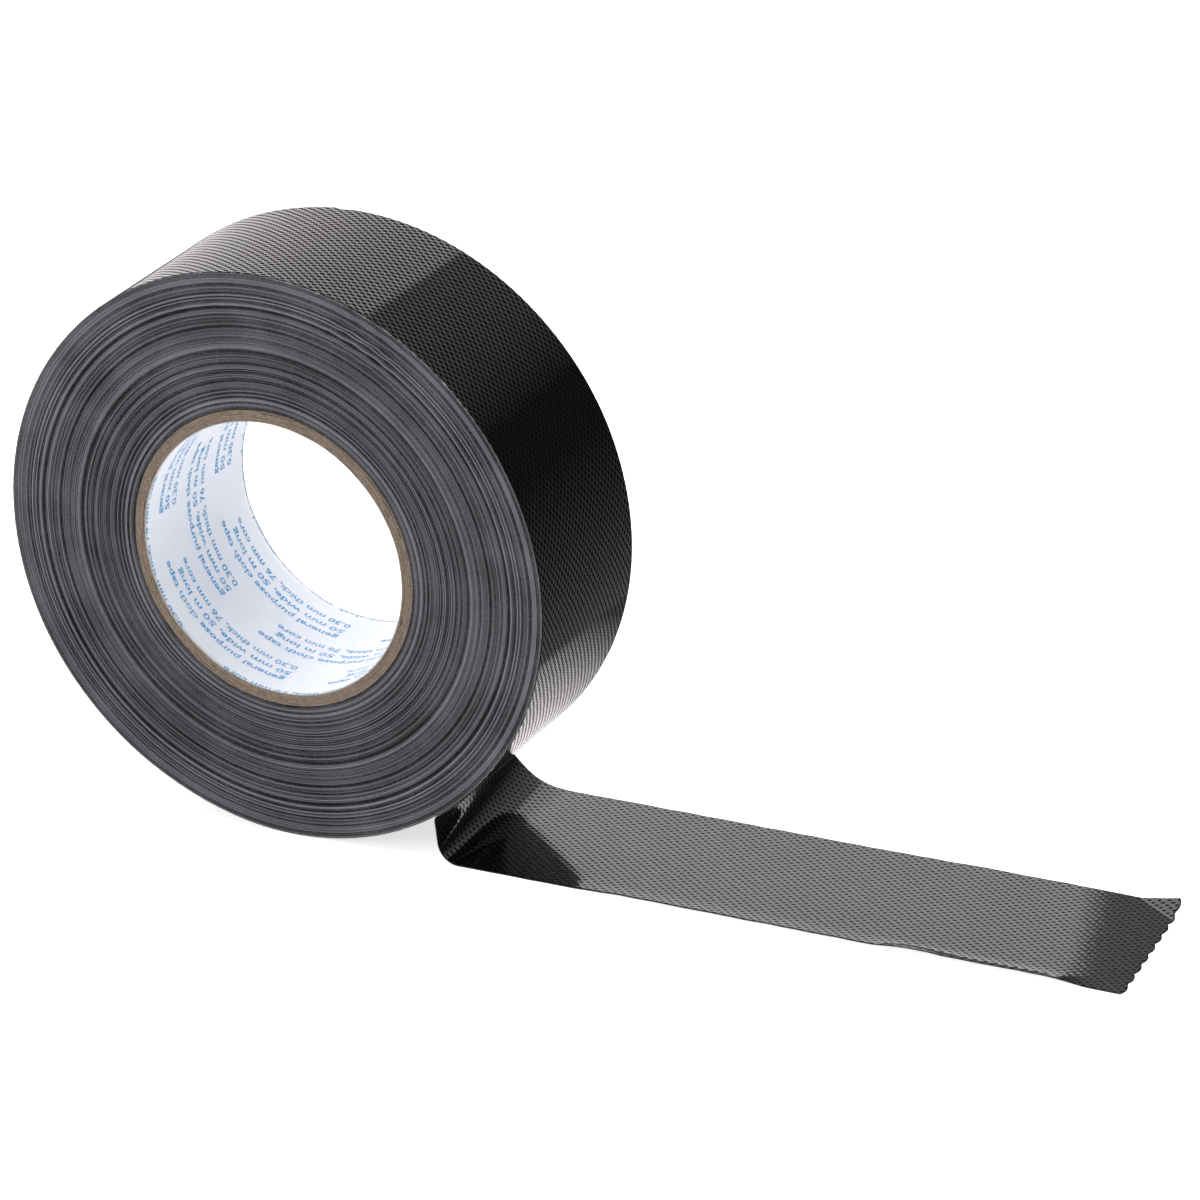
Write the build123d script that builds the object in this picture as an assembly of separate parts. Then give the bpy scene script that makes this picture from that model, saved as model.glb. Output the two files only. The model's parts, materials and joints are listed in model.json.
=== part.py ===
"""Roll of cloth-backed duct tape standing on its rim, with a free strip drawn out to its right.

Frame: millimetres, +Z up.  The origin is the centre of the core's bore and the bore runs along Y,
so the roll stands at z = -ROLL_R.  The strip peels off low on the right side, turns under itself
and lies along +X with its backing film upwards and its adhesive downwards.
"""
from math import cos, radians, sin
import os

from build123d import *

# Driving dimensions
TAPE_WIDTH = 50.0
ROLL_R = 79.0
BORE_R = 38.1

# Core: a printed paper liner inside plies of spiral-wound board
LINER_THICK = 0.2
PLY_COUNT = 5
PLY_THICK = 0.6

# Tape laminate, from the adhesive face up to the backing film
ADHESIVE_THICK = 0.12
SCRIM_THICK = 0.08
FILM_THICK = 0.10
TAPE_THICK = ADHESIVE_THICK + SCRIM_THICK + FILM_THICK

# Free strip
PEEL_ANGLE = 32.0
PEEL_GAP = 0.3
PEEL_BEND_R = 2.3
DROP_HEADING = 278.0
FLOOR_BEND_R = 7.3
LIFT_X = 110.0
LIFT_GAP = 0.3
STRIP_END_X = 233.5
CUT_SKEW = 4.5
CUT_TEETH = 9
CUT_TOOTH_DEPTH = 1.0

HALF_WIDTH = TAPE_WIDTH / 2
FLOOR_Z = -ROLL_R
LAYERS = {
    "adhesive": (0.0, ADHESIVE_THICK),
    "scrim": (ADHESIVE_THICK, ADHESIVE_THICK + SCRIM_THICK),
    "film": (ADHESIVE_THICK + SCRIM_THICK, TAPE_THICK),
}


def ring(inner_r, outer_r):
    """Tube along Y, as wide as the tape."""
    section = Circle(outer_r) - Circle(inner_r)
    return extrude(Plane.XZ * section, amount=HALF_WIDTH, both=True)


def on_bend(centre, radius, heading):
    """Point of a left-hand bend where the strip runs at this heading, in degrees."""
    angle = radians(heading)
    return (centre[0] + radius * sin(angle), centre[1] - radius * cos(angle))


def bend_centres():
    """Centres of the peel bend, which touches the roll, and of the floor bend, which touches the floor."""
    reach = ROLL_R + PEEL_GAP + PEEL_BEND_R
    angle = radians(PEEL_ANGLE)
    peel = (reach * sin(angle), -reach * cos(angle))
    drop_start = on_bend(peel, PEEL_BEND_R, DROP_HEADING)
    floor_z = FLOOR_Z + FLOOR_BEND_R
    drop_end_z = on_bend((0.0, floor_z), FLOOR_BEND_R, DROP_HEADING)[1]
    heading = radians(DROP_HEADING)
    drop_end_x = drop_start[0] + (drop_end_z - drop_start[1]) * cos(heading) / sin(heading)
    floor_x = drop_end_x - FLOOR_BEND_R * sin(heading)
    return peel, (floor_x, floor_z)


def bend_line(offset):
    """The strip's course from the roll to the floor, offset from its adhesive face."""
    peel, floor = bend_centres()
    bends = (
        (peel, PEEL_BEND_R - offset, 180.0 + PEEL_ANGLE, DROP_HEADING),
        (floor, FLOOR_BEND_R - offset, DROP_HEADING, 360.0),
    )
    arcs = []
    for centre, radius, start, end in bends:
        stations = (start, (start + end) / 2, end)
        arcs.append(ThreePointArc(*(on_bend(centre, radius, heading) for heading in stations)))
    drop = Line(arcs[0] @ 1, arcs[1] @ 0)
    return [arcs[0], drop, arcs[1]]


def peel_bend(low, high):
    """One layer of the strip where it leaves the roll and turns to lie flat."""
    outer = bend_line(low)
    inner = bend_line(high)
    ends = [Line(outer[0] @ 0, inner[0] @ 0), Line(outer[2] @ 1, inner[2] @ 1)]
    section = make_face(outer + inner + ends)
    return extrude(Plane.XZ * section, amount=HALF_WIDTH, both=True)


def laid_strip(low, high):
    """One layer of the strip that lies flat between the bend and the line where it lifts."""
    start_x = bend_centres()[1][0]
    flat = Box(LIFT_X - start_x, TAPE_WIDTH, high - low, align=(Align.MIN, Align.CENTER, Align.MIN))
    return Pos(start_x, 0, FLOOR_Z + low) * flat


def tape_end(low, high):
    """One layer of the loose end, up to its pinked cut: a row of round teeth across the width."""
    start_x = LIFT_X + LIFT_GAP
    notches = []
    for i in range(CUT_TEETH + 1):
        share = i / CUT_TEETH
        notches.append((STRIP_END_X + CUT_SKEW * (0.5 - share), TAPE_WIDTH * (share - 0.5)))
    teeth = []
    for (x0, y0), (x1, y1) in zip(notches, notches[1:]):
        crown = ((x0 + x1) / 2 + CUT_TOOTH_DEPTH, (y0 + y1) / 2)
        teeth.append(ThreePointArc((x0, y0), crown, (x1, y1)))
    sides = Polyline(notches[0], (start_x, -HALF_WIDTH), (start_x, HALF_WIDTH), notches[-1])
    outline = make_face(teeth + [sides])
    return Pos(0, 0, FLOOR_Z + low) * extrude(outline, amount=high - low)


def core_parts():
    """The liner and the board plies around it."""
    board_r = BORE_R + LINER_THICK
    parts = {"core_liner": ring(BORE_R, board_r)}
    for i in range(PLY_COUNT):
        inner_r = board_r + i * PLY_THICK
        parts[f"core_ply_{i + 1}"] = ring(inner_r, inner_r + PLY_THICK)
    return parts


def roll_parts():
    """The wound tape and the three layers of its outermost turn."""
    core_r = BORE_R + LINER_THICK + PLY_COUNT * PLY_THICK
    turn_r = ROLL_R - TAPE_THICK
    parts = {"wound_tape": ring(core_r, turn_r)}
    for layer, (low, high) in LAYERS.items():
        parts[f"outer_turn_{layer}"] = ring(turn_r + low, turn_r + high)
    return parts


def strip_parts():
    """The free strip's layers, stretch by stretch."""
    parts = {}
    for stretch, make in (("peel_bend", peel_bend), ("laid_strip", laid_strip), ("tape_end", tape_end)):
        for layer, (low, high) in LAYERS.items():
            parts[f"{stretch}_{layer}"] = make(low, high)
    return parts


os.makedirs("parts", exist_ok=True)
for node, shape in {**core_parts(), **roll_parts(), **strip_parts()}.items():
    export_step(shape, f"parts/{node}.step")
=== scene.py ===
"""Looks of a part-used roll of cloth-backed tape that stands on its rim with a strip drawn out of it.

Every length is in metres, in the part's own frame: the bore runs along Y, +Z is up and the strip
lies along +X.  The wound turns, the board plies, the printed liner and the three layers of the strip
are surfaces worked out over a grid of two parameters.
"""

import json

import bmesh
import bpy
from bpy.props import FloatProperty, FloatVectorProperty, IntProperty, PointerProperty
from mathutils import Matrix, Vector
import numpy as np


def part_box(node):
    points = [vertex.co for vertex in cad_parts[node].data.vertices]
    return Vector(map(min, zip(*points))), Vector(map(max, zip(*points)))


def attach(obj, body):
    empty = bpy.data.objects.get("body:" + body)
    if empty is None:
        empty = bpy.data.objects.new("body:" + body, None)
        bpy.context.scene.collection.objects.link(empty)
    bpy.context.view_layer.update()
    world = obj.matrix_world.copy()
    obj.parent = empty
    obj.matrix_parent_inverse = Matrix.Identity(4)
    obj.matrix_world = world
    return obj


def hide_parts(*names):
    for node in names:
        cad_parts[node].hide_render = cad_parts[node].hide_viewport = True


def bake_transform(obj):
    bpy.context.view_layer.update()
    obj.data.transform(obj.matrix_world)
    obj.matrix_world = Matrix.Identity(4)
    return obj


bl_info = {
    "name": "Cloth tape roll",
    "version": (1, 0, 0),
    "blender": (4, 5, 0),
    "location": "View3D > Sidebar > Tape roll",
    "description": "Builds a roll of cloth-backed tape with its core, its wound turns and a free strip",
    "category": "Object",
}

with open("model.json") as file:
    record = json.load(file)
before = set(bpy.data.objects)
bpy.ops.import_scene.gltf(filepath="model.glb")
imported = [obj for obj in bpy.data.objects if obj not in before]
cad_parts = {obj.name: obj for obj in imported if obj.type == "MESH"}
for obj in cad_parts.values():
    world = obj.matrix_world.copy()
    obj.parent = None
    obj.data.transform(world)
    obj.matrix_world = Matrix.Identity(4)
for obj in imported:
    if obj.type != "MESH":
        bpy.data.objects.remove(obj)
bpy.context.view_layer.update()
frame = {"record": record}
MM = 0.001


def outer_radius(node):
    """Outside radius of one of the part's rings, from its box."""
    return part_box(node)[1].x


ROLL_R = outer_radius("outer_turn_film")
TURN_R = outer_radius("wound_tape")
CORE_R = outer_radius("core_ply_5")
LINER_R = outer_radius("core_liner")
BORE_R = next(m["dims"]["r_mm"] for m in frame["record"]["mounts"] if m["name"] == "core_bore") * MM
HALF_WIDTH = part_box("outer_turn_film")[1].y
FLOOR_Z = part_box("laid_strip_adhesive")[0].z
STRIP_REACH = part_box("tape_end_film")[1].x
LAYERS = {"adhesive": (0.0, 0.12 * MM), "scrim": (0.12 * MM, 0.20 * MM), "film": (0.20 * MM, 0.30 * MM)}
SLOT_OF = {"adhesive": "adhesive", "scrim": "cloth_scrim", "film": "backing_film"}
PLIES = [f"core_ply_{i}" for i in range(1, 6)]


# Sizes and colours that a user would change

def a_length(name, description, default, precision=4):
    return FloatProperty(name=name, description=description, default=default,
                         unit="LENGTH", precision=precision)


def an_angle(name, description, degrees):
    return FloatProperty(name=name, description=description, default=np.radians(degrees), subtype="ANGLE")


def a_colour(name, description, default):
    return FloatVectorProperty(name=name, description=description, default=default,
                               subtype="COLOR", min=0, max=1)


class RollSizes(bpy.types.PropertyGroup):
    turns: IntProperty(name="Turns", description="Turns of tape wound on the core", default=125, min=8)
    ledge: a_length("Ledge", "How far a stray turn stands out of the wound side", 0.26 * MM, 5)
    weave_along: a_length("Weave along", "Period of the embossed weave along the tape", 2.757 * MM, 5)
    weave_across: a_length("Weave across", "Period of the embossed weave across the tape", 1.905 * MM, 5)
    weave_height: a_length("Weave height", "Height of the embossed weave above its mean", 0.024 * MM, 6)
    print_height: a_length("Print height", "Height of the liner's capital letters", 2.0 * MM)


class StripSizes(bpy.types.PropertyGroup):
    peel_near: an_angle("Peel, near edge", "Where the near edge peels off, right of the lowest point", 33.9)
    peel_far: an_angle("Peel, far edge", "Where the far edge peels off, right of the lowest point", 30.5)
    bend_near: a_length("Bend, near edge", "Radius of the near edge's turn towards the floor", 1.6 * MM)
    bend_far: a_length("Bend, far edge", "Radius of the far edge's turn towards the floor", 1.5 * MM)
    floor_near: a_length("Floor bend, near edge", "Radius of the near edge's turn onto the floor", 6.0 * MM)
    floor_far: a_length("Floor bend, far edge", "Radius of the far edge's turn onto the floor", 20.0 * MM)
    skew: a_length("Cut skew", "How much further the near edge reaches than the far edge", 4.5 * MM)
    teeth: IntProperty(name="Cut teeth", description="Round teeth along the cut", default=9, min=1)
    tooth_depth: a_length("Tooth depth", "Depth of one tooth of the cut", 1.0 * MM)


class Finishes(bpy.types.PropertyGroup):
    film: a_colour("Backing film", "Colour of the glossy backing", (0.0036, 0.0032, 0.0033))
    edge_dark: a_colour("Edge, dark", "Darkest of the slit edges", (0.010, 0.010, 0.011))
    edge_light: a_colour("Edge, light", "Lightest of the slit edges", (0.295, 0.298, 0.335))
    board: a_colour("Core board", "Colour of the core's board", (0.172, 0.134, 0.103))
    paper: a_colour("Liner paper", "Colour of the liner's paper", (0.80, 0.82, 0.86))
    ink: a_colour("Liner ink", "Colour of the liner's print", (0.05, 0.31, 0.60))
    adhesive: a_colour("Adhesive", "Colour of the adhesive side", (0.19, 0.185, 0.18))
    scrim: a_colour("Scrim", "Colour of the gauze's thread", (0.10, 0.10, 0.105))


# Meshes from arrays

def make_piece(name, points, faces, material, uv=None, tone=None, smooth=True):
    """A new object whose mesh holds the points (n, 3) and the faces, which are index arrays of one width
    each.  uv gives one pair per corner, in the faces' order, and tone one number per point."""
    mesh = bpy.data.meshes.new(name)
    mesh.vertices.add(len(points))
    mesh.vertices.foreach_set("co", np.ascontiguousarray(points, np.float32).ravel())
    corners = np.concatenate([f.ravel() for f in faces]).astype(np.int32)
    widths = np.concatenate([np.full(len(f), f.shape[1]) for f in faces])
    starts = np.concatenate([[0], np.cumsum(widths)[:-1]]).astype(np.int32)
    mesh.loops.add(len(corners))
    mesh.loops.foreach_set("vertex_index", corners)
    mesh.polygons.add(len(starts))
    mesh.polygons.foreach_set("loop_start", starts)
    mesh.polygons.foreach_set("use_smooth", np.full(len(starts), smooth))
    if uv is not None:
        layer = mesh.uv_layers.new(name="tape_uv")
        layer.data.foreach_set("uv", np.ascontiguousarray(uv, np.float32).ravel())
    if tone is not None:
        shades = mesh.attributes.new("turn_tone", "FLOAT", "POINT")
        shades.data.foreach_set("value", tone.astype(np.float32).ravel())
    mesh.update(calc_edges=True)
    if mesh.validate(verbose=True):
        raise RuntimeError(f"{name}: the mesh had faces that can't be")
    mesh.materials.append(material)
    made = bpy.data.objects.new(name, mesh)
    bpy.context.scene.collection.objects.link(made)
    return made


def loop_quads(rows, cols, close_rows, flip=False):
    """Corner indices (n, 4) of a grid whose columns close on themselves, and its rows too if they should.
    A quad runs from its corner along the columns, then to the next row and back."""
    i = np.arange(rows if close_rows else rows - 1)[:, None]
    k = np.arange(cols)[None, :]
    i1 = (i + 1) % rows
    k1 = (k + 1) % cols
    quads = np.stack([i * cols + k, i * cols + k1, i1 * cols + k1, i1 * cols + k], -1).reshape(-1, 4)
    return quads[:, ::-1] if flip else quads


def corner_uv(u, v, flip=False):
    """The same grid's two surface coordinates at each corner, with no jump where it closes.
    u and v have one row more than the mesh if the rows close."""
    last = u.shape[0] - 1
    both = []
    for value in (u, v):
        beside = np.roll(value, -1, 1)
        both.append(np.stack([value[:last], beside[:last], beside[1:], value[1:]], -1))
    uv = np.stack(both, -1).reshape(-1, 4, 2)
    return (uv[:, ::-1] if flip else uv).reshape(-1, 2)


def turned_piece(name, radius, depth, material, tone=None, smooth=True):
    """A ring: the closed profile (radius, depth), given at each step round the axis, turned about Y.
    A point is (radius cos a, depth, radius sin a).  The profile runs along +Y on the outside."""
    steps, count = radius.shape
    angle = np.arange(steps)[:, None] * 2 * np.pi / steps
    points = np.stack([radius * np.cos(angle), depth, radius * np.sin(angle)], -1).reshape(-1, 3)
    turn = np.arange(steps + 1)[:, None] * 2 * np.pi / steps * np.ones(count)
    across = np.vstack([depth, depth[:1]])
    uv = corner_uv(turn * ROLL_R / MM, across / MM)
    return make_piece(name, points, [loop_quads(steps, count, True)], material, uv, tone, smooth)


def smooth_noise(rng, count, spread, closed=False):
    """Random numbers of unit spread that change over about the given number of steps."""
    white = rng.normal(size=count)
    reach = int(4 * spread) + 1
    weights = np.exp(-0.5 * (np.arange(-reach, reach + 1) / spread) ** 2)
    padded = np.pad(white, reach, mode="wrap" if closed else "reflect")
    out = np.convolve(padded, weights, mode="valid")
    return out / out.std()


def waves(rng, angle, orders, count):
    """count rows of a few whole waves round the axis, each with its own size and phase."""
    total = np.zeros((count, len(angle)))
    for order in orders:
        size = rng.normal(size=(count, 1)) / order ** 0.5
        phase = rng.uniform(0, 2 * np.pi, (count, 1))
        total += size * np.cos(order * angle[None, :] + phase)
    return total / len(orders) ** 0.5


def window(x, low, high, soft):
    """1 between low and high, falling smoothly to 0 over soft on each side."""
    rise = np.clip((x - low + soft) / soft, 0, 1)
    fall = np.clip((high + soft - x) / soft, 0, 1)
    return (rise * rise * (3 - 2 * rise)) * (fall * fall * (3 - 2 * fall))


# How far the wound roll falls short of a true circle: degrees round the axis, millimetres
FLATS = ((0, 0.20), (35, 0.10), (70, 0.0), (95, 0.22), (135, 0.26), (180, 0.28), (215, 0.50),
         (245, 0.62), (268, 0.10), (285, 0.05), (300, 0.0), (330, 0.12), (360, 0.20))


def roll_shape(angle):
    """How far the wound roll falls short of a true circle: straight lines from flat to flat, rounded off by
    a bell-weighted running mean."""
    stations, short = np.array(FLATS).T
    fine = np.radians(np.arange(-20, 381, 1.0))
    line = np.interp(fine % (2 * np.pi), np.radians(stations), short * MM)
    reach = 12
    weights = np.exp(-0.5 * (np.arange(-reach, reach + 1) / 5.0) ** 2)
    line = np.convolve(np.pad(line, reach, mode="edge"), weights / weights.sum(), mode="valid")
    return np.interp(angle % (2 * np.pi), fine, line)


def weave(u, v, sizes):
    """Height of the embossed weave: a cosine along the tape times one across it, so that its cells stand in
    staggered rows."""
    cells = np.cos(2 * np.pi * u / sizes.weave_along) * np.cos(2 * np.pi * v / sizes.weave_across)
    return sizes.weave_height * cells


# Materials

def add(tree, kind, inputs=None, **settings):
    """A new node with its settings, and its inputs set to values or joined to sockets."""
    made = tree.nodes.new(kind)
    for key, value in settings.items():
        setattr(made, key, value)
    for key, value in (inputs or {}).items():
        if isinstance(value, bpy.types.NodeSocket):
            tree.links.new(value, made.inputs[key])
        else:
            made.inputs[key].default_value = value
    return made


def maths(tree, operation, a, b=0.0, c=0.0):
    return add(tree, "ShaderNodeMath", {0: a, 1: b, 2: c}, operation=operation).outputs[0]


def times(tree, a, b):
    return maths(tree, "MULTIPLY", a, b)


def plus(tree, a, b):
    return maths(tree, "ADD", a, b)


def swing(tree, value, size):
    """A value between 0 and 1, made to swing by this size round 0."""
    return maths(tree, "MULTIPLY_ADD", value, size, -0.5 * size)


def blend_colour(tree, share, a, b):
    return add(tree, "ShaderNodeMix", {0: share, 6: a, 7: b}, data_type="RGBA").outputs[2]


def spread(tree, value, low, high, to_low=0.0, to_high=1.0):
    """The value's range from low to high, mapped to the range from to_low to to_high and held there."""
    return add(tree, "ShaderNodeMapRange", {0: value, 1: low, 2: high, 3: to_low, 4: to_high}).outputs[0]


def noise(tree, vector, scale, detail=3.0, roughness=0.55):
    looks = {"Vector": vector, "Scale": scale, "Detail": detail, "Roughness": roughness}
    return add(tree, "ShaderNodeTexNoise", looks).outputs[0]


def new_group(name, inputs, outputs):
    """An empty node group with named inputs {name: default} and outputs, and its two end nodes."""
    group = bpy.data.node_groups.new(name, "ShaderNodeTree")
    for label, value in inputs.items():
        kind = "NodeSocketVector" if value is None else "NodeSocketFloat"
        socket = group.interface.new_socket(label, in_out="INPUT", socket_type=kind)
        if value is not None:
            socket.default_value = value
    for label in outputs:
        group.interface.new_socket(label, in_out="OUTPUT", socket_type="NodeSocketFloat")
    return group, group.nodes.new("NodeGroupInput").outputs, group.nodes.new("NodeGroupOutput").inputs


def grain_group():
    """Fine grain as a height for the bump, and a mask of broad patches, each at its own scale."""
    inputs = {"Place": None, "Fine scale": 2000.0, "Patch scale": 60.0}
    group, given, result = new_group("fine_grain", inputs, ["Height", "Patches"])
    fine = noise(group, given["Place"], given["Fine scale"], 4.0, 0.6)
    broad = noise(group, given["Place"], given["Patch scale"], 3.0, 0.5)
    group.links.new(fine, result["Height"])
    group.links.new(spread(group, broad, 0.35, 0.65), result["Patches"])
    return group


def emboss_group():
    """The embossed weave over millimetres along and across the tape.  The product of two cosines gives rows
    of staggered crowns; where it is lowest a pit is pressed in with short steep walls.  Puts out the height,
    and a mask that is 1 in the pits."""
    inputs = {"Place": None, "Along": 2.757, "Across": 1.905, "Crown": 0.3,
              "Pit top": 0.0, "Pit floor": -0.75}
    group, given, result = new_group("weave_emboss", inputs, ["Height", "Pits"])
    parts = add(group, "ShaderNodeSeparateXYZ", {0: given["Place"]}).outputs
    uneven = swing(group, noise(group, given["Place"], 0.35, 2.0), 0.5)
    rows = []
    for part, period in ((0, "Along"), (1, "Across")):
        turns = maths(group, "DIVIDE", plus(group, parts[part], uneven), given[period])
        rows.append(maths(group, "COSINE", times(group, turns, 2 * np.pi)))
    cells = times(group, *rows)
    walls = {0: cells, 1: given["Pit top"], 2: given["Pit floor"], 3: 0.0, 4: 1.0}
    pits = add(group, "ShaderNodeMapRange", walls, interpolation_type="SMOOTHSTEP").outputs[0]
    crowns = times(group, cells, given["Crown"])
    group.links.new(maths(group, "SUBTRACT", crowns, pits), result["Height"])
    group.links.new(pits, result["Pits"])
    return group


def gauze_group():
    """Open gauze: threads along and across the tape at the given spacings in millimetres, as a mask and a
    height."""
    inputs = {"Place": None, "Warp pitch": 1.38, "Weft pitch": 0.95, "Thread share": 0.4}
    group, given, result = new_group("gauze", inputs, ["Threads", "Height"])
    parts = add(group, "ShaderNodeSeparateXYZ", {0: given["Place"]}).outputs
    wobble = swing(group, noise(group, given["Place"], 0.7, 2.0), 0.5)
    masks = []
    for part, pitch in ((0, "Warp pitch"), (1, "Weft pitch")):
        place = plus(group, maths(group, "DIVIDE", parts[part], given[pitch]), wobble)
        wave = maths(group, "ABSOLUTE", maths(group, "SUBTRACT", maths(group, "FRACT", place), 0.5))
        near = maths(group, "SUBTRACT", given["Thread share"], wave)
        masks.append(spread(group, near, -0.06, 0.12))
    group.links.new(maths(group, "MAXIMUM", *masks), result["Threads"])
    group.links.new(plus(group, *masks), result["Height"])
    return group


def use_group(tree, group, **inputs):
    """A group's outputs.  Its inputs are set by name, with underscores for spaces."""
    named = {key.replace("_", " "): value for key, value in inputs.items()}
    return add(tree, "ShaderNodeGroup", named, node_tree=group).outputs


def new_material(name):
    """A material with only a Principled shader and its output.  The CAD's own plain materials already have
    the slots' names, so these get a longer one."""
    made = bpy.data.materials.new(f"{name}_finish")
    made.use_nodes = True
    tree = made.node_tree
    tree.nodes.clear()
    shader = tree.nodes.new("ShaderNodeBsdfPrincipled")
    add(tree, "ShaderNodeOutputMaterial", {0: shader.outputs[0]})
    return tree, shader


def feed(shader, name, value):
    """Joins a value to the shader's input of this name."""
    shader.id_data.links.new(value, shader.inputs[name])


def shade_of(tint, scale=1.0, lift=0.0):
    """A colour with its alpha, made lighter or darker."""
    return tuple(min(1.0, part * scale + lift) for part in tint) + (1.0,)


def object_place(tree):
    return add(tree, "ShaderNodeTexCoord").outputs["Object"]


def tape_place(tree):
    """Millimetres along and across the tape."""
    return add(tree, "ShaderNodeUVMap", uv_map="tape_uv").outputs[0]


def bump(tree, shader, height, distance):
    node = add(tree, "ShaderNodeBump", {"Height": height, "Distance": distance, "Strength": 1.0})
    feed(shader, "Normal", node.outputs[0])


def patchy_gloss(tree, shader, patches, low, high):
    feed(shader, "Roughness", spread(tree, patches, 0.0, 1.0, low, high))


def film_material(name, looks, grain, emboss, sizes, pit_top, pit_floor, pit_gloss):
    """Glossy polyethylene: near black, embossed with the cloth's weave, with fine grain, faint scuffs and
    dull pits.  A pit's wall goes down where the weave falls from pit_top to pit_floor."""
    tree, shader = new_material(name)
    place = tape_place(tree)
    out = use_group(tree, grain, Place=place, Fine_scale=0.9, Patch_scale=0.05)
    relief = use_group(tree, emboss, Place=place, Along=sizes.weave_along / MM,
                       Across=sizes.weave_across / MM, Pit_top=pit_top, Pit_floor=pit_floor)
    drawn_out = add(tree, "ShaderNodeMapping", {"Vector": place, "Scale": (0.08, 0.9, 1.0)}).outputs[0]
    scuffs = spread(tree, noise(tree, drawn_out, 1.2, 5.0, 0.7), 0.62, 0.80)
    pale = shade_of(looks.film, 2.2, 0.004)
    feed(shader, "Base Color", blend_colour(tree, scuffs, shade_of(looks.film), pale))
    patchy_gloss(tree, shader, out["Patches"], 0.34, 0.42)
    crowns = maths(tree, "MULTIPLY_ADD", relief["Pits"], -0.98, 1.0)
    feed(shader, "Coat Weight", maths(tree, "MULTIPLY_ADD", scuffs, -0.15, crowns))
    bump(tree, shader, maths(tree, "MULTIPLY_ADD", out["Height"], 0.012, relief["Height"]), 0.040 * MM)
    shader.inputs["IOR"].default_value = 1.5
    shader.inputs["Specular IOR Level"].default_value = pit_gloss
    shader.inputs["Coat Roughness"].default_value = 0.06
    shader.inputs["Coat IOR"].default_value = 1.5


def edge_material(looks, grain):
    """Slit edges of the turns: each turn's tone, with painted shade by the groove beside it and painted
    highlight where it stands out, and cloth ends and adhesive showing as fine specks.
    """
    tree, shader = new_material("wound_edge")
    place = object_place(tree)
    out = use_group(tree, grain, Place=place, Fine_scale=2600.0, Patch_scale=70.0)
    # turn_tone holds painted shade by each groove and painted highlight on turns that stand out.
    tone = add(tree, "ShaderNodeAttribute", attribute_name="turn_tone").outputs["Fac"]
    mixed = plus(tree, tone, swing(tree, out["Height"], 0.6))
    share = spread(tree, plus(tree, mixed, swing(tree, out["Patches"], 0.10)), 0.0, 1.0)
    dark, light = shade_of(looks.edge_dark), shade_of(looks.edge_light)
    feed(shader, "Base Color", blend_colour(tree, share, dark, light))
    patchy_gloss(tree, shader, out["Patches"], 0.48, 0.62)
    shader.inputs["Specular IOR Level"].default_value = 0.4
    bump(tree, shader, out["Height"], 0.05 * MM)


def board_material(looks, grain):
    """Raw board: matt, with fine fibres and paler and darker flecks."""
    tree, shader = new_material("core_board")
    place = object_place(tree)
    out = use_group(tree, grain, Place=place, Fine_scale=1500.0, Patch_scale=160.0)
    flecks = noise(tree, place, 5200.0, 2.0, 0.7)
    tone = plus(tree, times(tree, out["Height"], 0.7), times(tree, flecks, 0.5))
    share = spread(tree, tone, 0.38, 0.82)
    dark, light = shade_of(looks.board, 0.6), shade_of(looks.board, 1.5)
    feed(shader, "Base Color", blend_colour(tree, share, dark, light))
    patchy_gloss(tree, shader, out["Patches"], 0.82, 0.95)
    shader.inputs["Specular IOR Level"].default_value = 0.25
    bump(tree, shader, tone, 0.06 * MM)


def paper_material(looks, grain):
    """Smooth white paper with a soft cockle, faint fibres and a slightly grubby lip."""
    tree, shader = new_material("liner_paper")
    place = object_place(tree)
    out = use_group(tree, grain, Place=place, Fine_scale=1400.0, Patch_scale=70.0)
    soiled = times(tree, out["Patches"], 0.45)
    body = blend_colour(tree, soiled, shade_of(looks.paper), shade_of(looks.paper, 0.90))
    depth = maths(tree, "ABSOLUTE", add(tree, "ShaderNodeSeparateXYZ", {0: place}).outputs[1])
    ragged = plus(tree, depth, swing(tree, out["Height"], 1.2 * MM))
    lip = spread(tree, ragged, HALF_WIDTH - 0.6 * MM, HALF_WIDTH - 0.1 * MM)
    board = shade_of(looks.board, 1.3)
    feed(shader, "Base Color", blend_colour(tree, times(tree, lip, 0.65), body, board))
    patchy_gloss(tree, shader, out["Patches"], 0.50, 0.62)
    bump(tree, shader, plus(tree, out["Height"], times(tree, out["Patches"], 2.0)), 0.02 * MM)


def ink_material(looks, grain):
    """Printing ink, thinner here and there where the paper's fibres show through."""
    tree, shader = new_material("liner_ink")
    out = use_group(tree, grain, Place=object_place(tree), Fine_scale=2400.0, Patch_scale=260.0)
    thin = shade_of([0.65 * ink + 0.35 * paper for ink, paper in zip(looks.ink, looks.paper)])
    patchy = plus(tree, times(tree, out["Height"], 0.7), times(tree, out["Patches"], 0.35))
    worn = spread(tree, patchy, 0.42, 0.85)
    feed(shader, "Base Color", blend_colour(tree, worn, shade_of(looks.ink), thin))
    feed(shader, "Roughness", spread(tree, out["Height"], 0.3, 0.7, 0.45, 0.6))


def thread_material(grain):
    """Loose ends of the gauze's yarn: dull, from grey to pale; the pale end is partly the yarn's own colour
    and partly painted highlight where the ends catch the light along the rim.
    """
    tree, shader = new_material("thread_ends")
    out = use_group(tree, grain, Place=object_place(tree), Fine_scale=3000.0, Patch_scale=300.0)
    shade = blend_colour(tree, out["Patches"], (0.16, 0.16, 0.17, 1), (0.62, 0.62, 0.64, 1))
    feed(shader, "Base Color", shade)
    feed(shader, "Roughness", spread(tree, out["Height"], 0.3, 0.7, 0.7, 0.9))
    bump(tree, shader, out["Height"], 0.01 * MM)


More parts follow.
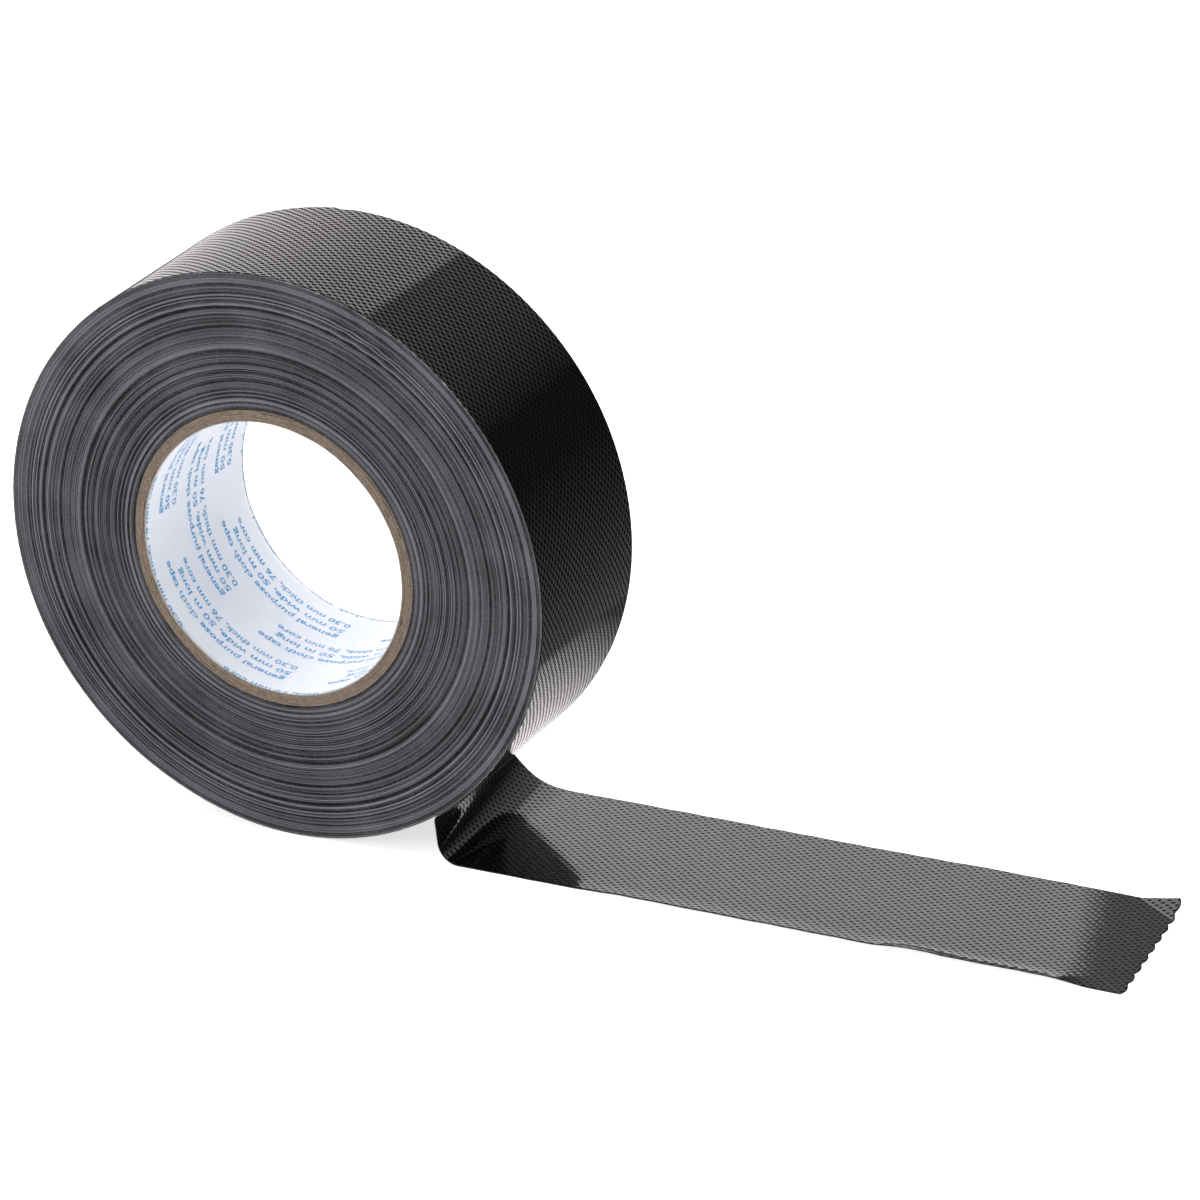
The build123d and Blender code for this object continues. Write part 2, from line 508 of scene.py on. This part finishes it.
def gauze_material(name, gauze, grain, ground, thread, roughness, relief):
    """A layer that shows its gauze: threads of one colour over a ground of another."""
    tree, shader = new_material(name)
    place = tape_place(tree)
    threads = use_group(tree, gauze, Place=place, Thread_share=0.2)
    out = use_group(tree, grain, Place=place, Fine_scale=2.2, Patch_scale=0.08)
    tinted = blend_colour(tree, times(tree, threads["Threads"], 0.7), shade_of(ground), shade_of(thread))
    shade = spread(tree, out["Height"], 0.3, 0.7, 0.0, 0.35)
    feed(shader, "Base Color", blend_colour(tree, shade, tinted, shade_of(ground, 0.5)))
    patchy_gloss(tree, shader, out["Patches"], roughness, roughness + 0.12)
    bump(tree, shader, plus(tree, times(tree, threads["Height"], 0.5), out["Height"]), relief)


def piece_material(name):
    return bpy.data.materials[f"{name}_finish"]


class TAPE_OT_finishes(bpy.types.Operator):
    """Make the procedural materials"""
    bl_idname = "tape.finishes"
    bl_label = "Finishes"

    def execute(self, context):
        looks = context.scene.tape_finishes
        sizes = context.scene.tape_roll
        grain = grain_group()
        gauze = gauze_group()
        emboss = emboss_group()
        film_material("backing_film", looks, grain, emboss, sizes, 0.22, -0.34, 0.0)
        film_material("laid_film", looks, grain, emboss, sizes, 0.05, -0.70, 0.03)
        for make in (edge_material, board_material, paper_material, ink_material):
            make(looks, grain)
        thread_material(grain)
        under = [part * 0.72 for part in looks.adhesive]
        ground = [part * 0.35 for part in looks.scrim]
        gauze_material("adhesive", gauze, grain, looks.adhesive, under, 0.42, 0.03 * MM)
        gauze_material("cloth_scrim", gauze, grain, ground, looks.scrim, 0.8, 0.06 * MM)
        return {"FINISHED"}


# The core

def ply_ring(name, node, inner_r, outer_r, seed, rough):
    """One ply of the core.  Its profile is a rectangle with worn corners; at each step round the axis its
    ends move in and out by noise, and the corners by finer noise, as on sawn board."""
    rng = np.random.default_rng(seed)
    steps = 360
    coarse = [smooth_noise(rng, steps, 9.0, True) + smooth_noise(rng, steps, 1.4, True) for _ in range(2)]
    chip = np.abs(smooth_noise(rng, steps, 1.2, True))[:, None] * rough * 0.5
    near = -HALF_WIDTH + coarse[0][:, None] * rough * 0.5
    far = HALF_WIDTH + coarse[1][:, None] * rough * 0.5
    worn = 0.05 * MM + chip
    share = np.array([1, 1, 0.8, 0.5, 0.2, 0, 0, 0.2, 0.5, 0.8])
    radius = np.tile(inner_r + share * (outer_r - inner_r), (steps, 1))
    depth = np.hstack([near + worn, far - worn, far, far + 0.3 * worn, far,
                       far - worn, near + worn, near, near - 0.3 * worn, near])
    made = turned_piece(name, radius, depth, piece_material("core_board"), smooth=False)
    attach(made, "roll")
    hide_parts(node)


def liner_sheet():
    """The paper lining: a thin tube whose inner face cockles gently, by two sines that run on a slant round
    the axis, with a lip that wanders along the board."""
    rng = np.random.default_rng(21)
    steps, across = 480, 25
    wander = [smooth_noise(rng, steps, 7.0, True)[:, None] * 0.10 * MM for _ in range(2)]
    angle = (np.arange(steps) * 2 * np.pi / steps)[:, None]
    share = np.linspace(-1, 1, across)[None, :]
    inner_y = share * HALF_WIDTH + np.where(share < 0, wander[0], wander[1]) * np.abs(share) ** 8
    cockle = 0.02 * MM * (np.sin(5 * angle + 2.0 * share) + np.sin(9 * angle - 3.1 * share + 1.0)) * 0.5
    inner_r = BORE_R + cockle * (1 - share ** 4) + 0.01 * MM
    radius = np.hstack([np.full((steps, 2), LINER_R), inner_r[:, ::-1]])
    depth = np.hstack([inner_y[:, :1], inner_y[:, -1:], inner_y[:, ::-1]])
    made = turned_piece("liner_sheet", radius, depth, piece_material("liner_paper"))
    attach(made, "roll")
    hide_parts("core_liner")


# The liner's print: each line with its length, and each row of blocks with its place along the bore in
# millimetres and where its first block starts, in degrees
PRINT_LINES = (("general purpose cloth tape", 46.5 * MM), ("50 mm wide, 50 m long", 43.0 * MM),
               ("0.30 mm thick, 76 mm core", 44.5 * MM))
PRINT_ROWS = ((-28.4, 219.4), (-14.2, 264.4), (0.0, 219.4), (14.2, 264.4), (28.4, 219.4))
LINE_PITCH = 3.6
CAPITAL_SHARE = 0.70


def line_of_print(words, length, height):
    """Flat letters of one line, as points and triangles: x runs from 0 to the line's length, y up from its
    base.  A capital is CAPITAL_SHARE of the type's size."""
    curve = bpy.data.curves.new("print_line", "FONT")
    curve.body = words
    curve.size = 1.0
    curve.offset = 0.019
    curve.resolution_u = 2
    line = bpy.data.objects.new("print_line", curve)
    bpy.context.scene.collection.objects.link(line)
    bpy.context.view_layer.update()
    mesh = bpy.data.meshes.new_from_object(line.evaluated_get(bpy.context.evaluated_depsgraph_get()))
    points = np.zeros(len(mesh.vertices) * 3)
    mesh.vertices.foreach_get("co", points)
    points = points.reshape(-1, 3)
    mesh.calc_loop_triangles()
    faces = np.zeros(len(mesh.loop_triangles) * 3, np.int32)
    mesh.loop_triangles.foreach_get("vertices", faces)
    bpy.data.objects.remove(line)
    bpy.data.curves.remove(curve)
    bpy.data.meshes.remove(mesh)
    wide = points[:, 0].max() - points[:, 0].min()
    x = (points[:, 0] - points[:, 0].min()) * length / wide
    y = points[:, 1] * height / CAPITAL_SHARE
    return np.stack([x, y], -1), faces.reshape(-1, 3)


def liner_print(sizes):
    """The liner's repeat print: blocks of three lines, wrapped round the bore.  A point at x along the line
    and y up from its base goes to the angle start - x / radius and the depth base - y."""
    r = BORE_R - 0.03 * MM
    lines = [line_of_print(words, length, sizes.print_height) for words, length in PRINT_LINES]
    all_points, all_faces, count = [], [], 0
    for row_y, start in PRINT_ROWS:
        for block in range(4):
            for index, (flat, faces) in enumerate(lines):
                middle = (row_y + (index - 1) * LINE_PITCH) * MM
                if abs(middle) > HALF_WIDTH + 1.0 * MM:
                    continue
                depth = middle + sizes.print_height / 2 - flat[:, 1]
                angle = np.radians(start + 90 * block) - flat[:, 0] / r
                all_points.append(np.stack([r * np.cos(angle), depth, r * np.sin(angle)], -1))
                all_faces.append(faces + count)
                count += len(flat)
    made = make_piece("liner_print", np.concatenate(all_points), [np.concatenate(all_faces)],
                      piece_material("liner_ink"), smooth=False)
    cut = bmesh.new()
    cut.from_mesh(made.data)
    for side in (-1, 1):
        whole = cut.verts[:] + cut.edges[:] + cut.faces[:]
        margin = (0, side * (HALF_WIDTH - 0.15 * MM), 0)
        bmesh.ops.bisect_plane(cut, geom=whole, dist=1e-7, plane_co=margin, plane_no=(0, side, 0),
                               clear_outer=True)
    cut.to_mesh(made.data)
    cut.free()
    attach(made, "roll")


class TAPE_OT_core(bpy.types.Operator):
    """Make the core: five board plies, the paper liner and its print"""
    bl_idname = "tape.core"
    bl_label = "Core"

    def execute(self, context):
        inner_r = LINER_R
        glue_line = 0.012 * MM
        for index, (node, rough) in enumerate(zip(PLIES, (0.16, 0.10, 0.12, 0.09, 0.14))):
            outer_r = outer_radius(node)
            ply_ring(f"board_ply_{index + 1}", node, inner_r, outer_r - glue_line, 40 + index, rough * MM)
            inner_r = outer_r
        liner_sheet()
        liner_print(context.scene.tape_roll)
        return {"FINISHED"}


# The wound tape

def evened(values, reach=4, share=0.8):
    """Takes out most of what a turn has in common with its neighbours: a share of the running mean over
    reach turns each way."""
    padded = np.pad(values, ((reach, reach), (0, 0)), mode="edge")
    sums = np.cumsum(np.vstack([np.zeros((1, values.shape[1])), padded]), 0)
    around = (sums[2 * reach + 1:] - sums[:-2 * reach - 1]) / (2 * reach + 1)
    return values - share * (around - values.mean())


# Radii of the turns that stand out all the way round, in millimetres
WHOLE_LEDGES = (72.0, 68.1, 60.0, 52.3, 46.5)


def turn_offsets(angle, sizes, seed):
    """How far each turn's edge stands out of the wound side (turns, steps), and its tone.
    It is noise from turn to turn, a slow drift over many turns, whole waves round the axis, and a few turns
    that strayed while the roll was wound and stand out as ledges.  The tone is painted highlight and shade:
    it follows the same noises, so a turn that stands out is lighter and a sunken one darker, a stray turn
    is lighter still, and bands by the outer rim and beside the core are painted lighter too."""
    rng = np.random.default_rng(seed)
    turns = sizes.turns
    jitter = smooth_noise(rng, turns, 0.7)
    group = smooth_noise(rng, turns, 1.6)
    drift = smooth_noise(rng, turns, 9.0)
    wavy = waves(rng, angle, (1, 2, 3, 5, 8), turns)
    wavy = (wavy + 0.6 * np.roll(wavy, 1, 0)) / 1.2
    fine = waves(rng, angle, (13, 21, 34, 55), turns)
    out = sizes.ledge * ((0.42 * jitter + 0.20 * group + 0.14 * drift)[:, None] + 0.22 * wavy + 0.05 * fine)
    radius = CORE_R + (np.arange(turns) + 0.5) / turns * (TURN_R - CORE_R)
    stray = np.zeros((turns, len(angle)))
    for ring_r in WHOLE_LEDGES:
        stray[np.argmin(np.abs(radius - ring_r * MM))] += 1.0
    for turn in rng.choice(turns, turns // 5, replace=False):
        centre = rng.uniform(0, 2 * np.pi)
        reach = rng.uniform(0.6, 2.6)
        swing = np.exp(-0.5 * ((np.mod(angle - centre + np.pi, 2 * np.pi) - np.pi) / reach) ** 2)
        stray[turn] += rng.uniform(0.35, 1.15) * swing
    out = evened(out + sizes.ledge * stray)
    crease = window(np.degrees(angle), 57, 71, 5) * window(radius / MM, 67, 79, 3)[:, None]
    ripple = np.sin(np.degrees(angle) * 1.1 + radius[:, None] / MM * 1.9)
    out = out + sizes.ledge * 0.8 * crease * ripple
    # Painted highlight: rim lightens the tone in a band along the outer rim and in one beside the core.
    rim = 0.10 * window(radius / MM, 75.5, 80, 1.0) + 0.06 * window(radius / MM, 40, 44.5, 2.0)
    # Painted highlight and shade: the tone follows the offsets' noises, so turns that stand out are lighter
    # and sunken ones darker; a stray turn gets 0.5 more.
    tone = 0.25 + 0.17 * jitter[:, None] + 0.06 * group[:, None] + 0.09 * wavy + 0.04 * fine
    tone = evened(tone + 0.5 * np.clip(stray, 0, 1)) + rim[:, None]
    return out, np.clip(tone, 0.02, 1.0)


def wound_side(name, side, sizes):
    """Half of the wound tape, from one side to the middle of its width.  Its profile crosses every turn's
    edge with two points at that turn's own depth, so that a ledge is left between neighbours.  The bounds
    between turns wander, and a gap opens beside the core at the top."""
    steps = 384
    angle = np.arange(steps) * 2 * np.pi / steps
    out, tone = turn_offsets(angle, sizes, 5 if side < 0 else 6)
    turns = sizes.turns
    rng = np.random.default_rng(70 + side)
    short = roll_shape(angle)
    bounds = CORE_R + np.linspace(0, 1, turns + 1) * (TURN_R - CORE_R)
    bounds[1:-1] += rng.normal(size=turns - 1) * 0.035 * MM
    share = ((bounds - CORE_R) / (TURN_R - CORE_R))[:, None]
    gap = 0.12 * MM * window(np.degrees(angle), 25, 125, 15)
    rings = bounds[:, None] - short * share ** 1.5 + gap * (1 - share) ** 6
    groove, slope, shadow = 0.04 * MM, 0.07 * MM, 0.4
    face_r = np.stack([rings[:-1] + groove, rings[1:] - groove], 1).reshape(2 * turns, steps)
    face_y = np.repeat(HALF_WIDTH + out, 2, 0)
    face_y[1::2] -= slope
    face_tone = np.repeat(tone, 2, 0)
    face_tone[1::2] *= shadow
    radius = np.vstack([rings[[0, -1]][::side], face_r[::-side]])
    depth = np.vstack([np.zeros((2, steps)), side * face_y[::-side]])
    shade = np.vstack([np.full((2, steps), 0.2), face_tone[::-side]])
    made = turned_piece(name, radius.T, depth.T, piece_material("wound_edge"), shade.T, smooth=False)
    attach(made, "roll")
    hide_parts("wound_tape")


class TAPE_OT_wound(bpy.types.Operator):
    """Make the wound turns, one half from each side of the roll"""
    bl_idname = "tape.wound"
    bl_label = "Wound turns"

    def execute(self, context):
        sizes = context.scene.tape_roll
        wound_side("wound_turns_near", -1, sizes)
        wound_side("wound_turns_far", 1, sizes)
        return {"FINISHED"}


def rim_edges(angle):
    """Where the outermost turn's two edges run, round the axis: noise, and on the far edge a nick at the
    top, two narrow bells of which the first goes in and the second out."""
    rng = np.random.default_rng(31)
    near, far = (smooth_noise(rng, len(angle), 14.0, True) * 0.06 * MM for _ in range(2))
    at = np.degrees(angle)
    nick = -0.5 * np.exp(-0.5 * ((at - 91) / 0.8) ** 2) + 0.3 * np.exp(-0.5 * ((at - 93.5) / 1.0) ** 2)
    return -HALF_WIDTH - 0.10 * MM + near, HALF_WIDTH + far + nick * MM


def wrap_layer(layer, sizes):
    """One layer of the outermost turn.  The film's outside is the roll's radius plus the weave's height over
    a grid of four points to each period, with a wrinkle low on the right; the others are plain rings."""
    low, high = (TURN_R + value for value in LAYERS[layer])
    fine = layer == "film"
    steps = 720
    angle = np.arange(steps) * 2 * np.pi / steps
    near, far = rim_edges(angle)
    across = int(round(2 * HALF_WIDTH / sizes.weave_across * 4)) + 1 if fine else 3
    share = np.linspace(0, 1, across)[None, :]
    y = near[:, None] * (1 - share) + far[:, None] * share
    short = roll_shape(angle)[:, None]
    outside = np.full_like(y, high) - short
    if fine:
        outside = outside + weave((angle * ROLL_R)[:, None] + 0 * y, y, sizes)
        wrinkle = np.exp(-0.5 * ((np.degrees(angle)[:, None] - 334) / 3.0) ** 2)
        outside = outside + wrinkle * 0.04 * MM * np.sin(y / MM * 0.9 + angle[:, None] * 60)
    inside = np.full((steps, 2), low) - short
    radius = np.hstack([outside, inside])
    depth = np.hstack([y, y[:, -1:], y[:, :1]])
    made = turned_piece(f"outer_wrap_{layer}", radius, depth, piece_material(SLOT_OF[layer]))
    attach(made, "roll")
    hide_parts(f"outer_turn_{layer}")


def thread_ends(count=190):
    """Ends of the gauze's yarn that stick out along the near rim, half of them at the upper right.  Each is
    a thin three-sided spike: three points round its root, and a tip that is the root plus its length."""
    rng = np.random.default_rng(77)
    upper = rng.uniform(38, 88, count // 2)
    angle = np.radians(np.concatenate([upper, rng.uniform(-50, 300, count - count // 2)]))
    zero = 0 * angle
    outward = np.stack([np.cos(angle), zero, np.sin(angle)], -1)
    along = np.stack([-np.sin(angle), zero, np.cos(angle)], -1)
    root = outward * (ROLL_R - roll_shape(angle) - rng.uniform(0.02, 0.30, count) * MM)[:, None]
    root[:, 1] = -HALF_WIDTH - 0.12 * MM
    way = along * rng.choice([-1, 1], count)[:, None] + outward * rng.uniform(-0.2, 0.5, count)[:, None]
    way[:, 1] -= rng.uniform(0.05, 0.35, count)
    way /= np.linalg.norm(way, axis=1)[:, None]
    first = np.cross(way, outward)
    first /= np.linalg.norm(first, axis=1)[:, None]
    second = np.cross(way, first)
    yarn_r = 0.055 * MM
    points = [root + yarn_r * (np.cos(a) * first + np.sin(a) * second) for a in np.arange(3) * 2 * np.pi / 3]
    points.append(root + way * rng.uniform(0.4, 1.7, count)[:, None] * MM)
    points = np.stack(points, 1).reshape(-1, 3)
    spike = np.array([[0, 1, 3], [1, 2, 3], [2, 0, 3], [0, 2, 1]])
    faces = (np.arange(count)[:, None, None] * 4 + spike[None]).reshape(-1, 3)
    made = make_piece("thread_ends", points, [faces], piece_material("thread_ends"), smooth=False)
    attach(made, "roll")


class TAPE_OT_wrap(bpy.types.Operator):
    """Make the three layers of the outermost turn, and the loose thread ends along its near rim"""
    bl_idname = "tape.wrap"
    bl_label = "Outermost turn"

    def execute(self, context):
        for layer in LAYERS:
            wrap_layer(layer, context.scene.tape_roll)
        thread_ends()
        return {"FINISHED"}


# The free strip

def strip_course(s, across, strip, offset):
    """The strip's surface at the length s along it and the place across it: x, z, and the x where it would
    start if it all lay flat.  The course holds to the roll, turns away on an arc, drops straight, turns on a
    second arc and runs along the floor.  Its radii change evenly from the near edge to the far one, so the
    bend is a little conical.  A layer lies offset from the adhesive's face, square to the course."""
    share = (across + HALF_WIDTH) / (2 * HALF_WIDTH)
    peel = strip.peel_near * (1 - share) + strip.peel_far * share
    bend_r = strip.bend_near * (1 - share) + strip.bend_far * share
    floor_r = strip.floor_near * (1 - share) + strip.floor_far * share
    drop = np.radians(275 + 31 * share)
    hold = np.radians(7.0)
    hold_r = ROLL_R + 0.12 * MM
    reach = hold_r + bend_r
    peel_x = reach * np.sin(peel)
    peel_z = -reach * np.cos(peel)
    drop_x = peel_x + bend_r * np.sin(drop)
    drop_z = peel_z - bend_r * np.cos(drop)
    land_z = FLOOR_Z + floor_r - floor_r * np.cos(drop)
    fall = (land_z - drop_z) / np.sin(drop)
    land_x = drop_x + fall * np.cos(drop)
    flat_x = land_x - floor_r * np.sin(drop)
    lengths = [hold_r * hold, bend_r * (drop - np.pi - peel), fall, floor_r * (2 * np.pi - drop)]
    ends = np.cumsum(np.stack([np.broadcast_to(v, s.shape) for v in lengths]), 0)
    holding = peel + hold - s / hold_r
    turning = np.pi + peel + (s - ends[0]) / bend_r
    landing = drop + (s - ends[2]) / floor_r
    on = [s < ends[0], s < ends[1], s < ends[2], s < ends[3]]
    heading = np.select(on, [np.pi + holding, turning, drop + 0 * s, landing], 2 * np.pi)
    fallen = s - ends[1]
    places_x = [hold_r * np.sin(holding), peel_x + bend_r * np.sin(turning),
                drop_x + fallen * np.cos(drop), flat_x + floor_r * np.sin(landing)]
    places_z = [-hold_r * np.cos(holding), peel_z - bend_r * np.cos(turning),
                drop_z + fallen * np.sin(drop), FLOOR_Z + floor_r - floor_r * np.cos(landing)]
    x = np.select(on, places_x, flat_x + (s - ends[3]))
    z = np.select(on, places_z, FLOOR_Z)
    return x - offset * np.sin(heading), z + offset * np.cos(heading), flat_x - ends[3]


def strip_end(across, strip):
    """Where the cut runs, across the strip: a slanting line of round teeth."""
    share = (across + HALF_WIDTH) / (2 * HALF_WIDTH)
    tooth = np.sin(np.pi * np.mod(share * strip.teeth, 1.0))
    middle = STRIP_REACH - strip.tooth_depth - strip.skew * (0.5 - 0.5 / strip.teeth)
    return middle + strip.skew * (0.5 - share) + strip.tooth_depth * tooth ** 0.8


def strip_rise(x, y):
    """How far the strip stands off the floor: its near edge curls up a little, its middle swells and its far
    corner is turned up at 20 degrees past a crease, the line from (x0, y0) to (x1, y1)."""
    near = np.clip((-y - 0.0195) / 0.0055, 0, 1) ** 1.6
    curl = 0.42 * MM * window(x, 0.100, 0.175, 0.022) + 1.0 * MM * window(x, 0.180, 0.214, 0.016)
    swell = 0.10 * MM * (1 + np.sin(x * 70 + y * 40)) * window(x, 0.075, 0.215, 0.02) * 0.5
    x0, y0, x1, y1 = 0.2207, 0.0244, 0.2328, 0.0160
    length = np.hypot(x1 - x0, y1 - y0)
    past = ((x - x0) * (y0 - y1) + (y - y0) * (x1 - x0)) / length
    bent = np.maximum(past, 0)
    soft = 0.6 * MM
    corner = np.tan(np.radians(20)) * (bent - soft * (1 - np.exp(-bent / soft)))
    return near * curl + swell + corner


def strip_layer(layer, sizes, strip):
    """One layer of the strip, a closed slab: its section runs across the top and back underneath, and is
    carried along the strip's course.  The film's top carries the weave, pressed flatter where it lies."""
    low, high = LAYERS[layer]
    fine = layer == "film"
    pitch_s = sizes.weave_along / 5 if fine else 1.0 * MM
    count = int(round(2 * HALF_WIDTH / sizes.weave_across * 4)) + 1 if fine else 51
    rng = np.random.default_rng(90)
    edge = [(smooth_noise(rng, 400, 3.0) * 0.07 + smooth_noise(rng, 400, 25.0) * 0.08) * MM
            for _ in range(2)]
    y = np.linspace(-HALF_WIDTH, HALF_WIDTH, count)[None, :]
    start = strip_course(np.zeros_like(y), y, strip, 0.0)[2]
    total = strip_end(y, strip) - start
    rows = int(round(total.mean() / pitch_s)) + 1
    s = np.linspace(0, 1, rows)[:, None] * total
    place = np.linspace(0, 1, len(edge[0])) * total.mean()
    shift = [np.interp(s[:, :1], place, e) for e in edge]
    share = (y + HALF_WIDTH) / (2 * HALF_WIDTH)
    wide_y = y + 0 * s + shift[0] * (1 - share) ** 8 + shift[1] * share ** 8
    sheets = []
    for offset, top in ((high, True), (low, False)):
        pressed = 0.35 + 0.65 * window(s, 0.0, 0.030, 0.045) + 0.45 * window(s, 0.185, 0.300, 0.030)
        lift = pressed * weave(s, wide_y, sizes) if fine and top else 0.0
        x, z, _ = strip_course(s, y + 0 * s, strip, offset + lift)
        sheets.append(np.stack([x, wide_y, z + strip_rise(x, wide_y)], -1))
    section = np.concatenate([sheets[0], sheets[1][:, ::-1]], 1)
    cols = 2 * count
    quads = loop_quads(rows, cols, False, flip=True)
    j = np.arange(count - 1)
    under = cols - 1 - j
    last = (rows - 1) * cols
    end_cap = np.stack([last + j, last + under, last + under - 1, last + j + 1], -1)
    start_cap = np.stack([j, j + 1, under - 1, under], -1)
    u, v = (np.hstack([value, value[:, ::-1]]) / MM for value in (s, wide_y))
    caps = np.concatenate([end_cap.ravel(), start_cap.ravel()])
    uv = np.concatenate([corner_uv(u, v, flip=True), np.stack([u.ravel()[caps], v.ravel()[caps]], -1)])
    made = make_piece(f"strip_{layer}", section.reshape(-1, 3), [quads, end_cap, start_cap],
                      piece_material("laid_film" if fine else SLOT_OF[layer]), uv)
    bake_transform(made)
    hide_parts(f"peel_bend_{layer}", f"laid_strip_{layer}", f"tape_end_{layer}")
    return made, float(total.mean())


class TAPE_OT_strip(bpy.types.Operator):
    """Make the free strip's film, scrim and adhesive"""
    bl_idname = "tape.strip"
    bl_label = "Free strip"

    def execute(self, context):
        sizes = context.scene.tape_roll
        strip = context.scene.tape_strip
        made = {layer: strip_layer(layer, sizes, strip) for layer in LAYERS}
        return {"FINISHED"}


# Floor, light and camera

def stage_sheet(name, centre, wide, deep, turn, material, lean=0.0):
    """A flat stage sheet, its face towards its own +Z before it is turned, one corner drawn in by lean."""
    corners = np.array([[-1, -1, 0], [1, -1, 0], [1, 1, 0], [-1, 1, 0]], float) * (wide / 2, deep / 2, 1)
    corners[2, 0] -= lean
    points = corners @ np.array(turn).T + np.array(centre)
    made = make_piece(name, points, [np.array([[0, 1, 2, 3]])], material, smooth=False)
    return made


def soft_lamp(name, place, aim, size, watts):
    """A soft rectangular lamp that looks at a point and isn't mirrored in the gloss."""
    data = bpy.data.lights.new(name, "AREA")
    data.shape = "RECTANGLE"
    data.size, data.size_y = size
    data.energy = watts
    lamp = bpy.data.objects.new(name, data)
    lamp.location = place
    lamp.rotation_mode = "QUATERNION"
    lamp.rotation_quaternion = (Vector(aim) - Vector(place)).to_track_quat("-Z", "Y")
    bpy.context.scene.collection.objects.link(lamp)
    lamp.visible_camera = lamp.visible_glossy = False


def glow_material(name, axis, low, high, foot, head):
    """A panel that glows from strength low at the place foot along the axis to strength high at the place
    head."""
    made = bpy.data.materials.new(name)
    made.use_nodes = True
    tree = made.node_tree
    tree.nodes.clear()
    place = add(tree, "ShaderNodeSeparateXYZ", {0: object_place(tree)}).outputs[axis]
    strength = spread(tree, place, foot, head, low, high)
    glow = add(tree, "ShaderNodeEmission", {"Color": (1.0, 0.955, 0.99, 1), "Strength": strength})
    add(tree, "ShaderNodeOutputMaterial", {0: glow.outputs[0]})
    return made


class TAPE_OT_stage(bpy.types.Operator):
    """Make the floor, the lights and the camera"""
    bl_idname = "tape.stage"
    bl_label = "Stage"

    def execute(self, context):
        scene = context.scene
        shader = new_material("stage_white")[1]
        shader.inputs["Base Color"].default_value = (0.9, 0.9, 0.9, 1)
        shader.inputs["Roughness"].default_value = 0.9
        shader.inputs["Emission Color"].default_value = (1, 1, 1, 1)
        shader.inputs["Emission Strength"].default_value = 0.7
        level = np.eye(3)
        floor = stage_sheet("floor", (0, 0, FLOOR_Z), 12, 12, level, piece_material("stage_white"))
        floor.visible_glossy = False
        low_card = stage_sheet("low_card", (0.0, 0.064, FLOOR_Z - 0.0005), 0.20, 0.104, level,
                               glow_material("card_glow", 1, 2.2, 0.30, 0.045, 0.100))
        low_card.visible_camera = low_card.visible_diffuse = low_card.visible_shadow = False
        upright = np.array([[1, 0, 0], [0, 0, -1], [0, 1, 0]], float)
        box = stage_sheet("rear_box", (0.090 - 0.45, 0.37, 0.26), 0.90, 0.62, upright,
                          glow_material("box_glow", 2, 1.7, 2.3, -0.02, 0.24), lean=0.113)
        box.visible_camera = box.visible_shadow = False
        soft_lamp("front_fill", (-1.25, -1.3, 0.45), (0, 0, -0.03), (1.2, 0.7), 21)
        soft_lamp("top_fill", (0.1, 0.1, 1.6), (0.05, 0, -0.08), (1.8, 1.8), 22)
        world = bpy.data.worlds.new("room")
        world.use_nodes = True
        room = world.node_tree
        ways = add(room, "ShaderNodeTexCoord").outputs["Generated"]
        facing = add(room, "ShaderNodeSeparateXYZ", {0: ways}).outputs
        behind = spread(room, facing[1], -0.1, 0.7, 0.5, 1.0)
        ceiling = spread(room, facing[2], 0.27, 0.62, 0.06, 0.88)
        above = plus(room, ceiling, spread(room, facing[2], 0.05, -0.60, 0.0, 0.45))
        room.nodes["Background"].inputs[0].default_value = (1.0, 0.985, 0.98, 1)
        room.links.new(times(room, behind, above), room.nodes["Background"].inputs[1])
        scene.world = world
        scene.view_settings.view_transform = "Standard"
        scene.view_settings.look = "None"
        azimuth, elevation, roll = np.radians([28.527, 24.124, -2.85])
        level_share = np.cos(elevation)
        back = Vector((np.sin(azimuth) * level_share, -np.cos(azimuth) * level_share, np.sin(elevation)))
        right = Vector((np.cos(azimuth), np.sin(azimuth), 0))
        up = back.cross(right)
        side = right * np.cos(roll) + up * np.sin(roll)
        head = up * np.cos(roll) - right * np.sin(roll)
        data = bpy.data.cameras.new("camera")
        data.sensor_width = 36
        data.lens = 182.49
        data.clip_start = 0.05
        data.clip_end = 20
        camera = bpy.data.objects.new("camera", data)
        scene.collection.objects.link(camera)
        camera.matrix_world = Matrix((side, head, back)).transposed().to_4x4()
        camera.location = back * 1.5898 + side * 0.0731 - head * 0.0200
        scene.camera = camera
        return {"FINISHED"}


class VIEW3D_PT_tape(bpy.types.Panel):
    """Sizes, finishes and steps of the tape roll"""
    bl_idname = "VIEW3D_PT_tape"
    bl_label = "Tape roll"
    bl_space_type = "VIEW_3D"
    bl_region_type = "UI"
    bl_category = "Tape roll"

    def draw(self, context):
        scene = context.scene
        for settings in (scene.tape_roll, scene.tape_strip, scene.tape_finishes):
            box = self.layout.box()
            for name in settings.__annotations__:
                box.prop(settings, name)
        for step in STEPS:
            self.layout.operator(step.bl_idname)


STEPS = (TAPE_OT_finishes, TAPE_OT_core, TAPE_OT_wound, TAPE_OT_wrap, TAPE_OT_strip, TAPE_OT_stage)
CLASSES = (RollSizes, StripSizes, Finishes, *STEPS, VIEW3D_PT_tape)
SETTINGS = {"tape_roll": RollSizes, "tape_strip": StripSizes, "tape_finishes": Finishes}


def register():
    for cls in CLASSES:
        bpy.utils.register_class(cls)
    for name, cls in SETTINGS.items():
        setattr(bpy.types.Scene, name, PointerProperty(type=cls))


def unregister():
    for name in SETTINGS:
        delattr(bpy.types.Scene, name)
    for cls in reversed(CLASSES):
        bpy.utils.unregister_class(cls)


def main():
    """Make the whole scene, step by step."""
    register()
    for step in STEPS:
        group, name = step.bl_idname.split(".")
        if getattr(getattr(bpy.ops, group), name)() != {"FINISHED"}:
            raise RuntimeError(f"{step.bl_label} did not finish")


if __name__ == "__main__":
    main()
